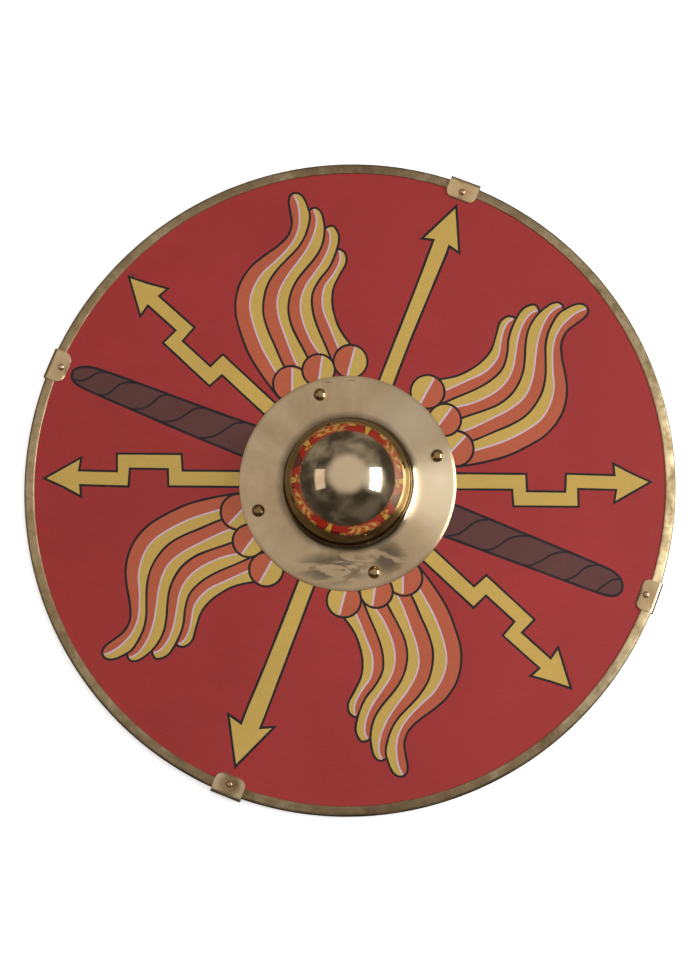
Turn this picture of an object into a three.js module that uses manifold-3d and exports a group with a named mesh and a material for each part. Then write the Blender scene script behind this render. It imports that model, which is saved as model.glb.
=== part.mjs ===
// A round Roman shield (parma), lying on its back: a plywood board with a brass binding folded round
// its edge, four brass clips over the joints of the binding, a spun brass boss and a wooden hand grip
// let into the back. Millimetres, +Z out of the shield's face, +X along the grip. The origin is in the
// middle of the rim, on the surface that the clips' back plates rest on.

import * as THREE from "three";
import { mergeVertices } from "three/addons/utils/BufferGeometryUtils.js";
import Module from "manifold-3d";

const wasm = await Module();
wasm.setup();

// Driving dimensions of the board and its rim
const RIM_HALF_WIDTH = 324; // to the outside of the binding, along X
const RIM_HALF_HEIGHT = 328; // along Y: the board is sawn a little taller than wide
const BOARD_THICKNESS = 10;
const BINDING_SHEET = 1;
const BINDING_LIP = 10.2; // how far each leg of the channel reaches in from the rim
const BINDING_BEND = 3; // outer radius of the channel's two folds
const BINDING_JOINT_GAP = 0.6; // between two lengths of binding, under a clip

// Driving dimensions of the clips: where each one sits, and how loosely it is folded round the rim
const CLIPS = [
  { angle: 1.2, looseness: 0.8 },
  { angle: 90.9, looseness: 2.4 },
  { angle: 179.5, looseness: 0.8 },
  { angle: 270.1, looseness: 2.4 },
];
const CLIP_SHEET = 1.2;
const CLIP_WIDTH = 31;
const CLIP_OVERLAP = 8; // how far a leg reaches past the binding onto the board
const CLIP_END_RUN = 1.8; // the stretch of the leg's end that is set down onto the board
const CLIP_CORNER = 8;
const CLIP_RIVET_INSET = 13; // from the clip's outer edge
const CLIP_RIVET_SHANK = 1.5;
const CLIP_RIVET_HEAD = 3.1;
const CLIP_RIVET_RISE = 1.9;

// Driving dimensions of the boss
const BOSS_CENTRE = new THREE.Vector2(-2.4, 0.7);
const BOSS_SHEET = 1.2;
const DOME_RADIUS = 62.7;
const DOME_RISE = 68; // from the dome's widest circle to its top
const DOME_FILLET = 7.5; // the sweep from the dome into the flange
const FLANGE_WIDTH = 38; // from the foot of the sweep to the flange's edge
const FLANGE_EDGE_WIDTH = 2.4; // the band at the edge that is dressed down
const FLANGE_EDGE_DROP = 0.6;
const BOSS_RIVET_ANGLES = [38.7, 129.1, 219.2, 308.2];
const BOSS_RIVET_INSET = 15; // from the flange's edge
const BOSS_RIVET_SHANK = 2.4;
const BOSS_RIVET_HEAD = 6.4;
const BOSS_RIVET_RISE = 4.6;
const BOSS_RIVET_TAIL = 5;
const BOSS_RIVET_TAIL_RISE = 1.3;

// Driving dimensions of the hand hole and the grip behind it
const HAND_HOLE_INSET = 1.5; // the hole is this much smaller than the inside of the dome
const GRIP_WIDTH = 30;
const GRIP_HEIGHT = 20; // at the middle, back to front
const GRIP_LAP = 64; // length let into the board on each side of the hand hole
const GRIP_POCKET_DEPTH = 5;
const GRIP_SHOULDER_RUN = 24; // from the thin lap to the full height
const GRIP_TOP_ROUND = 9;
const GRIP_BACK_ROUND = 1.6;
const NAIL_INSET = 15; // from the hand hole and from the grip's end
const NAIL_SHANK = 1.5;
const NAIL_HEAD = 4;
const NAIL_HEAD_RISE = 0.8;
const NAIL_COVER = 2; // board left in front of a nail's point
const NAIL_CLEARANCE = 0.4; // between the nails' heads and the surface that the shield lies on

// Clearance round a shank in its hole, and of the parts that are slipped into or over each other
const FIT_GAP = 0.3;

// Facets: sides of a full turn, and steps in a quarter turn of a fold
const RIM_SIDES = 72;
const BOSS_SIDES = 40;
const RIVET_SIDES = 12;
const NAIL_SIDES = 10;
const FOLD_STEPS = 2;
const ROUND_STEPS = 3;
const DOME_STEPS = 8;

// Levels, from the surface that the clips rest on
const BINDING_BACK = CLIP_SHEET;
const BOARD_BACK = BINDING_BACK + BINDING_SHEET;
const BOARD_FRONT = BOARD_BACK + BOARD_THICKNESS;
const BINDING_FRONT = BOARD_FRONT + BINDING_SHEET;
const CLIP_FRONT = BINDING_FRONT + CLIP_SHEET;
const FLANGE_FRONT = BOARD_FRONT + BOSS_SHEET;

// Sizes that follow from the driving ones
const BOARD_HALF_WIDTH = RIM_HALF_WIDTH - BINDING_SHEET - FIT_GAP;
const FLANGE_FOOT = DOME_RADIUS + DOME_FILLET;
const FLANGE_RADIUS = FLANGE_FOOT + FLANGE_WIDTH;
const BOSS_RIVET_CIRCLE = FLANGE_RADIUS - BOSS_RIVET_INSET;
const HAND_HOLE_RADIUS = DOME_RADIUS - BOSS_SHEET - HAND_HOLE_INSET;
const GRIP_HALF_LENGTH = HAND_HOLE_RADIUS + GRIP_LAP;
const GRIP_BACK = NAIL_CLEARANCE + NAIL_HEAD_RISE;
const POCKET_FLOOR = BOARD_BACK + GRIP_POCKET_DEPTH;
const NAIL_POINT = BOARD_FRONT - NAIL_COVER;

const QUARTER = Math.PI / 2;

const brass = new THREE.MeshStandardMaterial({ color: "#c3a875", roughness: 0.28, metalness: 1 });
const darkBrass = new THREE.MeshStandardMaterial({ color: "#8f7347", roughness: 0.4, metalness: 1 });
const redPaint = new THREE.MeshStandardMaterial({ color: "#a03a38", roughness: 0.65, metalness: 0 });
const ash = new THREE.MeshStandardMaterial({ color: "#9a7448", roughness: 0.6, metalness: 0 });
const iron = new THREE.MeshStandardMaterial({ color: "#3c3a38", roughness: 0.55, metalness: 1 });

// Points along an arc of an ellipse, from one angle to another
function arc(x, y, radiusX, radiusY, from, to, steps) {
  return Array.from({ length: steps + 1 }, (_, i) => {
    const angle = from + ((to - from) * i) / steps;
    return new THREE.Vector2(x + radiusX * Math.cos(angle), y + radiusY * Math.sin(angle));
  });
}

// A quarter of a circle in a fold, a round or a sweep
function quarter(x, y, radius, from, turn, steps) {
  return arc(x, y, radius, radius, from, from + turn * QUARTER, steps);
}

// A body of revolution about Z, from a profile of radius against height
function turned(profile, sides) {
  return new THREE.LatheGeometry(profile, sides).rotateX(QUARTER);
}

// A plate with the outline given in X and Y, from one height to another
function plate(outline, low, high) {
  const shape = new THREE.Shape(outline);
  return new THREE.ExtrudeGeometry(shape, { depth: high - low, bevelEnabled: false }).translate(0, 0, low);
}

// A bar with the outline given in X and Z, centred on Y
function barAcrossY(outline, width) {
  return plate(outline, -width / 2, width / 2).rotateX(QUARTER);
}

// A bar with the outline given in Y and Z, centred on X
function barAlongX(outline, length) {
  return plate(outline, -length / 2, length / 2)
    .rotateX(QUARTER)
    .rotateZ(QUARTER);
}

// A round pin or hole about Z
function pin(radius, low, high, sides, x = 0, y = 0) {
  const height = high - low;
  return new THREE.CylinderGeometry(radius, radius, height, sides)
    .rotateX(QUARTER)
    .translate(x, y, low + height / 2);
}

function rectangle(x, y, halfWidth, halfHeight) {
  return [
    new THREE.Vector2(x - halfWidth, y - halfHeight),
    new THREE.Vector2(x + halfWidth, y - halfHeight),
    new THREE.Vector2(x + halfWidth, y + halfHeight),
    new THREE.Vector2(x - halfWidth, y + halfHeight),
  ];
}

function toSolid(geometry) {
  const bare = geometry.clone();
  bare.deleteAttribute("normal");
  bare.deleteAttribute("uv");
  const merged = mergeVertices(bare, 1e-4);
  const vertProperties = new Float32Array(merged.attributes.position.array);
  const triVerts = new Uint32Array(merged.index.array);
  return new wasm.Manifold(new wasm.Mesh({ numProp: 3, vertProperties, triVerts }));
}

function toGeometry(solid) {
  const { vertProperties, triVerts } = solid.getMesh();
  const geometry = new THREE.BufferGeometry();
  geometry.setAttribute("position", new THREE.BufferAttribute(new Float32Array(vertProperties), 3));
  geometry.setIndex(new THREE.BufferAttribute(new Uint32Array(triVerts), 1));
  const faceted = geometry.toNonIndexed();
  faceted.computeVertexNormals();
  return faceted;
}

function cut(geometry, tools) {
  const solid = tools.reduce((left, tool) => left.subtract(toSolid(tool)), toSolid(geometry));
  return toGeometry(solid);
}

function overlapOf(geometry, other) {
  return toGeometry(toSolid(geometry).intersect(toSolid(other)));
}

function named(name, geometry, material) {
  const mesh = new THREE.Mesh(geometry, material);
  mesh.name = name;
  return mesh;
}

// The rim is an oval: a round profile of half the width, stretched along Y
function stretched(geometry) {
  return geometry.scale(1, RIM_HALF_HEIGHT / RIM_HALF_WIDTH, 1);
}

function rimRadius(angle) {
  return 1 / Math.hypot(Math.cos(angle) / RIM_HALF_WIDTH, Math.sin(angle) / RIM_HALF_HEIGHT);
}

// The radius of a rivet from the middle of the rim, at a clip
function clipRivetRadius(clip) {
  return clipOuterEdge(clip) - CLIP_RIVET_INSET;
}

function clipOuterEdge(clip) {
  return rimRadius(THREE.MathUtils.degToRad(clip.angle)) + clip.looseness + CLIP_SHEET;
}

function clipRivetHoles(low, high) {
  return CLIPS.map((clip) => {
    const angle = THREE.MathUtils.degToRad(clip.angle);
    const radius = clipRivetRadius(clip);
    return pin(CLIP_RIVET_SHANK + FIT_GAP, low, high, RIVET_SIDES).translate(
      radius * Math.cos(angle),
      radius * Math.sin(angle),
      0,
    );
  });
}

// Places of the boss rivets and the grip's nails, from the middle of the boss
const bossRivetPlaces = BOSS_RIVET_ANGLES.map((degrees) => {
  const angle = THREE.MathUtils.degToRad(degrees);
  return new THREE.Vector2(Math.cos(angle), Math.sin(angle)).multiplyScalar(BOSS_RIVET_CIRCLE);
});
const nailPlaces = [-1, 1].flatMap((side) => [
  new THREE.Vector2(side * (HAND_HOLE_RADIUS + NAIL_INSET), 0),
  new THREE.Vector2(side * (GRIP_HALF_LENGTH - NAIL_INSET), 0),
]);

// The board: its edge is eased to sit in the folds of the binding
function boardGeometry() {
  const ease = BINDING_BEND - BINDING_SHEET;
  const easeCentre = BOARD_HALF_WIDTH - ease;
  const profile = [
    new THREE.Vector2(0, BOARD_BACK),
    ...quarter(easeCentre, BOARD_BACK + ease, ease, -QUARTER, 1, FOLD_STEPS),
    ...quarter(easeCentre, BOARD_FRONT - ease, ease, 0, 1, FOLD_STEPS),
    new THREE.Vector2(0, BOARD_FRONT),
  ];
  const past = 1;
  const low = BOARD_BACK - past;
  const high = BOARD_FRONT + past;
  const [bossX, bossY] = [BOSS_CENTRE.x, BOSS_CENTRE.y];
  const pocket = plate(
    rectangle(bossX, bossY, GRIP_HALF_LENGTH + FIT_GAP, GRIP_WIDTH / 2 + FIT_GAP),
    low,
    POCKET_FLOOR,
  );
  const rivetHoles = bossRivetPlaces.map(({ x, y }) =>
    pin(BOSS_RIVET_SHANK + FIT_GAP, low, high, RIVET_SIDES, bossX + x, bossY + y),
  );
  const nailHoles = nailPlaces.map(({ x, y }) =>
    pin(NAIL_SHANK + FIT_GAP, low, NAIL_POINT + FIT_GAP, NAIL_SIDES, bossX + x, bossY + y),
  );
  return cut(stretched(turned(profile, RIM_SIDES)), [
    pin(HAND_HOLE_RADIUS, low, high, BOSS_SIDES, bossX, bossY),
    pocket,
    ...rivetHoles,
    ...nailHoles,
    ...clipRivetHoles(low, high),
  ]);
}

// The binding: a U-shaped channel round the whole rim, cut into a length for each stretch between clips
function bindingChannel() {
  const foldCentre = RIM_HALF_WIDTH - BINDING_BEND;
  const inside = BINDING_BEND - BINDING_SHEET;
  const lipEdge = RIM_HALF_WIDTH - BINDING_LIP;
  const profile = [
    new THREE.Vector2(lipEdge, BINDING_BACK),
    ...quarter(foldCentre, BINDING_BACK + BINDING_BEND, BINDING_BEND, -QUARTER, 1, FOLD_STEPS),
    ...quarter(foldCentre, BINDING_FRONT - BINDING_BEND, BINDING_BEND, 0, 1, FOLD_STEPS),
    new THREE.Vector2(lipEdge, BINDING_FRONT),
    new THREE.Vector2(lipEdge, BOARD_FRONT),
    ...quarter(foldCentre, BINDING_FRONT - BINDING_BEND, inside, QUARTER, -1, FOLD_STEPS),
    ...quarter(foldCentre, BINDING_BACK + BINDING_BEND, inside, 0, -1, FOLD_STEPS),
    new THREE.Vector2(lipEdge, BOARD_BACK),
    new THREE.Vector2(lipEdge, BINDING_BACK),
  ];
  return cut(
    stretched(turned(profile, RIM_SIDES)),
    clipRivetHoles(BINDING_BACK - CLIP_SHEET, CLIP_FRONT),
  );
}

function bindingLength(channel, from, to) {
  const halfJoint = BINDING_JOINT_GAP / 2 / RIM_HALF_WIDTH;
  const reach = 2 * RIM_HALF_HEIGHT;
  const wedge = [
    new THREE.Vector2(0, 0),
    ...arc(0, 0, reach, reach, from + halfJoint, to - halfJoint, 2),
  ];
  return overlapOf(channel, plate(wedge, 0, CLIP_FRONT));
}

function bindingLengths() {
  const channel = bindingChannel();
  return CLIPS.map((clip, i) => {
    const next = CLIPS[(i + 1) % CLIPS.length];
    const from = THREE.MathUtils.degToRad(clip.angle);
    const to = THREE.MathUtils.degToRad(next.angle > clip.angle ? next.angle : next.angle + 360);
    return named("edge_binding_" + (i + 1), bindingLength(channel, from, to), darkBrass);
  });
}

// A clip: a short strap folded round the binding, its ends set down onto the board, with X outwards
function clipGeometry(clip) {
  const outer = clipOuterEdge(clip);
  const lipEdge = rimRadius(THREE.MathUtils.degToRad(clip.angle)) - BINDING_LIP;
  const end = lipEdge - CLIP_OVERLAP;
  const bend = BINDING_BEND + CLIP_SHEET;
  const foldCentre = outer - bend;
  const profile = [
    new THREE.Vector2(end, BOARD_BACK - CLIP_SHEET),
    new THREE.Vector2(end + CLIP_END_RUN, 0),
    ...quarter(foldCentre, bend, bend, -QUARTER, 1, FOLD_STEPS),
    ...quarter(foldCentre, CLIP_FRONT - bend, bend, 0, 1, FOLD_STEPS),
    new THREE.Vector2(end + CLIP_END_RUN, CLIP_FRONT),
    new THREE.Vector2(end, BOARD_FRONT + CLIP_SHEET),
    new THREE.Vector2(end, BOARD_FRONT),
    new THREE.Vector2(end + CLIP_END_RUN, BINDING_FRONT),
    ...quarter(foldCentre, CLIP_FRONT - bend, BINDING_BEND, QUARTER, -1, FOLD_STEPS),
    ...quarter(foldCentre, bend, BINDING_BEND, 0, -1, FOLD_STEPS),
    new THREE.Vector2(end + CLIP_END_RUN, BINDING_BACK),
    new THREE.Vector2(end, BOARD_BACK),
  ];
  const halfWidth = CLIP_WIDTH / 2;
  const outline = [
    ...quarter(end + CLIP_CORNER, halfWidth - CLIP_CORNER, CLIP_CORNER, QUARTER, 1, ROUND_STEPS),
    ...quarter(end + CLIP_CORNER, CLIP_CORNER - halfWidth, CLIP_CORNER, 2 * QUARTER, 1, ROUND_STEPS),
    new THREE.Vector2(outer + CLIP_SHEET, -halfWidth),
    new THREE.Vector2(outer + CLIP_SHEET, halfWidth),
  ];
  const strap = overlapOf(barAcrossY(profile, CLIP_WIDTH), plate(outline, -CLIP_SHEET, CLIP_FRONT + CLIP_SHEET));
  const hole = pin(
    CLIP_RIVET_SHANK + FIT_GAP,
    -CLIP_SHEET,
    CLIP_FRONT + CLIP_SHEET,
    RIVET_SIDES,
    clipRivetRadius(clip),
    0,
  );
  return cut(strap, [hole]);
}

// A clip rivet: a domed head on the front leg, and a shank hammered flush with the back plate
function clipRivetGeometry() {
  const profile = [
    new THREE.Vector2(0, 0),
    new THREE.Vector2(CLIP_RIVET_SHANK, 0),
    new THREE.Vector2(CLIP_RIVET_SHANK, CLIP_FRONT),
    ...arc(0, CLIP_FRONT, CLIP_RIVET_HEAD, CLIP_RIVET_RISE, 0, QUARTER, ROUND_STEPS),
  ];
  return turned(profile, RIVET_SIDES);
}

function clipGroup(clip, number) {
  const group = new THREE.Group();
  const rivet = named("edge_clip_rivet_" + number, clipRivetGeometry(), brass);
  rivet.position.x = clipRivetRadius(clip);
  group.add(named("edge_clip_" + number, clipGeometry(clip), brass), rivet);
  group.rotation.z = THREE.MathUtils.degToRad(clip.angle);
  return group;
}

// The boss: a domed shell swept out into a flat flange, of one sheet thickness throughout
function bossGeometry() {
  const widest = FLANGE_FRONT + DOME_FILLET;
  const sweep = DOME_FILLET + BOSS_SHEET;
  const inside = DOME_RADIUS - BOSS_SHEET;
  const profile = [
    ...arc(0, widest, inside, DOME_RISE - BOSS_SHEET, QUARTER, 0, DOME_STEPS),
    ...quarter(FLANGE_FOOT, widest, sweep, 2 * QUARTER, 1, ROUND_STEPS),
    new THREE.Vector2(FLANGE_RADIUS, BOARD_FRONT),
    new THREE.Vector2(FLANGE_RADIUS, FLANGE_FRONT - FLANGE_EDGE_DROP),
    new THREE.Vector2(FLANGE_RADIUS - FLANGE_EDGE_WIDTH, FLANGE_FRONT),
    ...quarter(FLANGE_FOOT, widest, DOME_FILLET, 3 * QUARTER, -1, ROUND_STEPS),
    ...arc(0, widest, DOME_RADIUS, DOME_RISE, 0, QUARTER, DOME_STEPS).slice(1),
  ];
  const past = BOSS_SHEET;
  return cut(
    turned(profile, BOSS_SIDES),
    bossRivetPlaces.map(({ x, y }) =>
      pin(BOSS_RIVET_SHANK + FIT_GAP, BOARD_FRONT - past, FLANGE_FRONT + past, RIVET_SIDES, x, y),
    ),
  );
}

// A boss rivet: a round head on the flange, and a tail spread flat on the board's back
function bossRivetGeometry() {
  const tailEase = BOSS_RIVET_TAIL_RISE / 2;
  const profile = [
    new THREE.Vector2(0, BOARD_BACK - BOSS_RIVET_TAIL_RISE),
    new THREE.Vector2(BOSS_RIVET_TAIL - tailEase, BOARD_BACK - BOSS_RIVET_TAIL_RISE),
    new THREE.Vector2(BOSS_RIVET_TAIL, BOARD_BACK - tailEase),
    new THREE.Vector2(BOSS_RIVET_TAIL, BOARD_BACK),
    new THREE.Vector2(BOSS_RIVET_SHANK, BOARD_BACK),
    new THREE.Vector2(BOSS_RIVET_SHANK, FLANGE_FRONT),
    ...arc(0, FLANGE_FRONT, BOSS_RIVET_HEAD, BOSS_RIVET_RISE, 0, QUARTER, ROUND_STEPS),
  ];
  return turned(profile, RIVET_SIDES);
}

// The grip: thin laps in the board's pockets, swelling to a rounded hold across the hand hole
function gripGeometry() {
  const top = GRIP_BACK + GRIP_HEIGHT;
  const holeEdge = Math.sqrt(HAND_HOLE_RADIUS ** 2 - (GRIP_WIDTH / 2) ** 2);
  const shoulderFoot = holeEdge - FIT_GAP;
  const shoulderSteps = 2 * ROUND_STEPS;
  const shoulder = Array.from({ length: shoulderSteps + 1 }, (_, i) => {
    const along = i / shoulderSteps;
    const climb = (1 - Math.cos(along * Math.PI)) / 2;
    const x = shoulderFoot - along * GRIP_SHOULDER_RUN;
    return new THREE.Vector2(x, POCKET_FLOOR + climb * (top - POCKET_FLOOR));
  });
  const side = [
    new THREE.Vector2(-GRIP_HALF_LENGTH, GRIP_BACK),
    new THREE.Vector2(GRIP_HALF_LENGTH, GRIP_BACK),
    new THREE.Vector2(GRIP_HALF_LENGTH, POCKET_FLOOR),
    ...shoulder,
    ...shoulder.map(({ x, y }) => new THREE.Vector2(-x, y)).reverse(),
    new THREE.Vector2(-GRIP_HALF_LENGTH, POCKET_FLOOR),
  ];
  const half = GRIP_WIDTH / 2;
  const [topY, backY] = [half - GRIP_TOP_ROUND, half - GRIP_BACK_ROUND];
  const [topZ, backZ] = [top - GRIP_TOP_ROUND, GRIP_BACK + GRIP_BACK_ROUND];
  const section = [
    ...quarter(-backY, backZ, GRIP_BACK_ROUND, 2 * QUARTER, 1, FOLD_STEPS),
    ...quarter(backY, backZ, GRIP_BACK_ROUND, 3 * QUARTER, 1, FOLD_STEPS),
    ...quarter(topY, topZ, GRIP_TOP_ROUND, 0, 1, ROUND_STEPS),
    ...quarter(-topY, topZ, GRIP_TOP_ROUND, QUARTER, 1, ROUND_STEPS),
  ];
  const body = overlapOf(barAcrossY(side, GRIP_WIDTH), barAlongX(section, 2 * GRIP_HALF_LENGTH));
  const past = 1;
  return cut(
    body,
    nailPlaces.map(({ x, y }) => pin(NAIL_SHANK + FIT_GAP, GRIP_BACK - past, top, NAIL_SIDES, x, y)),
  );
}

// A grip nail: a flat round head on the grip's back, its point left inside the board
function nailGeometry() {
  const pointRun = 2 * NAIL_SHANK;
  const profile = [
    new THREE.Vector2(0, GRIP_BACK - NAIL_HEAD_RISE),
    new THREE.Vector2(NAIL_HEAD - NAIL_HEAD_RISE / 2, GRIP_BACK - NAIL_HEAD_RISE),
    new THREE.Vector2(NAIL_HEAD, GRIP_BACK - NAIL_HEAD_RISE / 2),
    new THREE.Vector2(NAIL_HEAD, GRIP_BACK),
    new THREE.Vector2(NAIL_SHANK, GRIP_BACK),
    new THREE.Vector2(NAIL_SHANK, NAIL_POINT - pointRun),
    new THREE.Vector2(0, NAIL_POINT),
  ];
  return turned(profile, NAIL_SIDES);
}

function placed(mesh, place) {
  mesh.position.set(place.x, place.y, 0);
  return mesh;
}

function bossGroup() {
  const group = new THREE.Group();
  group.add(named("boss", bossGeometry(), brass), named("hand_grip", gripGeometry(), ash));
  bossRivetPlaces.forEach((place, i) =>
    group.add(placed(named("boss_rivet_" + (i + 1), bossRivetGeometry(), brass), place)),
  );
  nailPlaces.forEach((place, i) =>
    group.add(placed(named("grip_nail_" + (i + 1), nailGeometry(), iron), place)),
  );
  group.position.set(BOSS_CENTRE.x, BOSS_CENTRE.y, 0);
  return group;
}

const shield = new THREE.Group();
shield.add(named("board", boardGeometry(), redPaint), ...bindingLengths());
shield.add(...CLIPS.map((clip, i) => clipGroup(clip, i + 1)), bossGroup());

export default shield;
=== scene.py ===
import math

import bpy
from mathutils import Matrix, Vector, noise
from mathutils.geometry import delaunay_2d_cdt


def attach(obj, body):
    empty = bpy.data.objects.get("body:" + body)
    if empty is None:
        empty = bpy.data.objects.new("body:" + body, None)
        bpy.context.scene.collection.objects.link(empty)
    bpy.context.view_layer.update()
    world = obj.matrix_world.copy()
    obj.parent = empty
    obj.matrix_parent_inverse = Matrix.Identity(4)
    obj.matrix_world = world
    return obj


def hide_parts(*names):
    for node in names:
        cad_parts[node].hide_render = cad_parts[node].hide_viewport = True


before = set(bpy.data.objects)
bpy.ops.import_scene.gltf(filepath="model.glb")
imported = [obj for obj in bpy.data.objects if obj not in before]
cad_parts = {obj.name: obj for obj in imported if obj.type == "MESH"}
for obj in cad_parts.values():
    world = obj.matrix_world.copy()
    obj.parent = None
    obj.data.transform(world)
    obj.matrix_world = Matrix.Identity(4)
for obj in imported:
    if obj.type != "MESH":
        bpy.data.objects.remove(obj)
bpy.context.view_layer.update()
MM = 0.001

# Sizes of the shield in millimetres, as in its solids
RIM_HALF_WIDTH = 324
RIM_HALF_HEIGHT = 328
BINDING_LIP = 10.2
BINDING_BEND = 3
BINDING_JOINT_GAP = 0.6
FIT_GAP = 0.3
# Each clip's place on the rim in degrees, and how far it stands off the binding
CLIPS = [(1.2, 0.8), (90.9, 2.4), (179.5, 0.8), (270.1, 2.4)]
CLIP_SHEET = 1.2
CLIP_WIDTH = 31
CLIP_OVERLAP = 8
CLIP_END_RUN = 1.8
CLIP_CORNER = 8
CLIP_RIVET_INSET = 13
# Each clip's brightness, tarnish and the strength of the painted shade and highlight round its rivet
CLIP_LOOKS = [(1.0, 0.1, 0.15), (1.03, 0.15, 0.1), (0.99, 0.35, 0.3), (0.82, 1.0, 0.65)]
BOSS_CENTRE = (-2.4, 0.7)
BOSS_SHEET = 1.2
DOME_RADIUS = 62.7
DOME_RISE = 68
DOME_FILLET = 7.5
FLANGE_RADIUS = 108.2
FLANGE_EDGE_WIDTH = 2.4
FLANGE_EDGE_DROP = 0.6
BOSS_RIVET_ANGLES = [38.7, 129.1, 219.2, 308.2]
BOSS_RIVET_CIRCLE = 93.2
HAND_HOLE_RADIUS = 60
GRIP_WIDTH = 30
GRIP_HALF_LENGTH = 124
GRIP_SHOULDER_RUN = 24
GRIP_TOP_ROUND = 9
GRIP_BACK_ROUND = 1.6
# Each nail's place along the grip, and the number of its solid
NAILS = [(-109, 2), (-75, 1), (75, 3), (109, 4)]
BINDING_BACK = 1.2
BOARD_BACK = 2.2
BOARD_FRONT = 12.2
BINDING_FRONT = 13.2
CLIP_FRONT = 14.4
FLANGE_FRONT = 13.4
POCKET_FLOOR = 7.2
GRIP_BACK = 1.2
GRIP_TOP = 21.2
BOARD_HALF_WIDTH = 322.7

# Fixed directions on the shield, which lies turned in the picture: to the picture's right and its top
PICTURE_TURN = math.radians(21.795)
PICTURE_RIGHT = Vector((math.cos(PICTURE_TURN), math.sin(PICTURE_TURN), 0))
PICTURE_UP = Vector((-math.sin(PICTURE_TURN), math.cos(PICTURE_TURN), 0))
FACE_LEVEL = Vector((0, 0, BOARD_FRONT * MM))
# The sweep at the dome's foot is spun this far off the boss's middle
DOME_FOOT_LEAN = PICTURE_RIGHT * 2.4 - PICTURE_UP * 1.6

# The painted pattern, in millimetres from its own middle, drawn once for the quarter between the bar
# and the upward arrow, and mirrored into the other three
PATTERN_CENTRE = (-3.9, 3.1)
FEATHER_1 = [(46, 127.5), (60, 136.3), (70, 145.6), (80, 160), (85, 175), (84.4, 190), (82.9, 203),
             (84.6, 209.5), (88.5, 214), (93, 215.3), (97, 214.8)]
FEATHER_2 = [(57, 104), (70, 117.5), (85, 132.5), (95, 145), (101.3, 157.5), (102.9, 167), (101.2, 179.5),
             (97.5, 192), (96.3, 203), (97, 216), (98.8, 225), (101.5, 229.6), (105, 233), (109, 235),
             (112.7, 233.6), (116.3, 229.4)]
FEATHER_3 = [(76, 94), (87.5, 104.4), (100, 115), (111.3, 126), (119.4, 139), (123, 153), (122.8, 167.5),
             (119.4, 181), (115.4, 193), (112.6, 206), (113, 217.5), (115.6, 227.5), (119.2, 234.8),
             (124.4, 242.3), (130, 245.8), (134.8, 245), (138.2, 240.8)]
FEATHER_4 = [(93, 76.5), (105, 86.3), (117.5, 98.8), (131.3, 112.5), (141.3, 126), (146.5, 141), (148, 156),
             (145.2, 171.5), (140, 185.5), (134.6, 199), (132, 212), (132.5, 225), (135, 236), (139.6, 242.6),
             (145, 248.6), (150, 252.2), (155.5, 253.2), (160, 251), (161.7, 246.5), (160, 240.4),
             (155.6, 233.2), (149.6, 223), (147.8, 214), (149, 205.4), (154.6, 193.5), (163.8, 179),
             (171, 164.5), (174.5, 147), (172.8, 130.5), (166.3, 114), (155, 98.8), (140, 82.5), (122, 68.6),
             (102.5, 56.3), (88, 48.5)]
# The point at which the fourth feather's tip folds back
FEATHER_4_FOLD = 13
QUILL_1 = [(50, 114.5), (60, 123), (73.8, 137.5), (86.3, 151), (92.2, 163), (94, 174.5), (91, 187.5),
           (89.4, 199), (90.6, 208), (94, 213.5)]
QUILL_2 = [(66, 103), (75.6, 110), (86.3, 117.5), (98.8, 130), (107.5, 142.5), (111.7, 155), (112, 168),
           (109, 182), (106, 196), (105, 209), (106.4, 219), (109.4, 226.4), (114, 230.5)]
QUILL_3 = [(82, 83), (95, 93.8), (110, 110), (123.8, 126), (132.5, 141), (134.8, 155), (132.8, 171.5),
           (128.4, 188), (125.2, 203), (124.2, 217), (125.8, 230), (129.4, 238.6), (134.6, 244)]
QUILL_4 = [(97, 67.5), (115, 81), (132.5, 96), (148.8, 115), (157.5, 130), (160, 146), (157.4, 163.5),
           (150.4, 178.5), (143.8, 194.5), (140.6, 208), (141.2, 221.5), (145.6, 233.6), (151.4, 243.2),
           (158.5, 250.2)]
# The round scales at the wing's root: middle, radius, and the ends of the line across
SCALES = [
    ((88.5, 69.5), 18, ((93.4, 85.5), (82, 56))),
    ((68, 92.5), 16.3, ((70, 108), (63, 80))),
    ((41.5, 112.5), 17, ((42.7, 128.5), (39, 98))),
]
BOLT = [(90, 43.4), (163.3, 71.9), (170.3, 56.1), (205.7, 69.6), (200, 86.7), (245.3, 103.3), (240, 113.6),
        (260, 111.4), (281.4, 110.3), (255, 77.1), (252.1, 90), (216.7, 76.9), (223.6, 60.4), (163.3, 36.9),
        (156, 51.9), (94, 27.6)]
# The sides of the pattern's middle on which each quarter lies
QUARTERS = [(1, 1), (-1, 1), (-1, -1), (1, -1)]
ARROW_UP = [(7.6, 100), (6.6, 150), (7, 200), (7.7, 250), (7.2, 259), (19.3, 256.2), (-1.3, 300),
            (-21.3, 256.2), (-10, 259), (-9.8, 250), (-8.7, 200), (-8.4, 150), (-8, 100)]
ARROW_DOWN = [(-8.2, -100), (-7.5, -150), (-7.2, -200), (-7.8, -250), (-7.6, -262.3), (-22.6, -258.8),
              (3.2, -304), (24.5, -253.6), (12, -259.5), (12, -250), (11, -200), (10, -150), (8.8, -100)]
BAR_RIGHT = [(95, 17), (150, 16.1), (200, 15.3), (250, 14.4), (272, 13.7), (282, 11.9), (288.5, 8.3),
             (292.4, 3), (293.3, -2), (291, -7), (285, -10.6), (274, -12.2), (250, -13), (200, -14.1),
             (150, -15.4), (95, -16.8)]
BAR_LEFT = [(-95, 17.4), (-150, 15.1), (-200, 14.1), (-240, 13.1), (-268, 12), (-282, 10.5), (-291.4, 6.5),
            (-296.6, 0.8), (-295.8, -4.6), (-291, -9.4), (-282, -11.6), (-262, -12.7), (-200, -14.6),
            (-150, -15.8), (-95, -16.2)]
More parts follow.
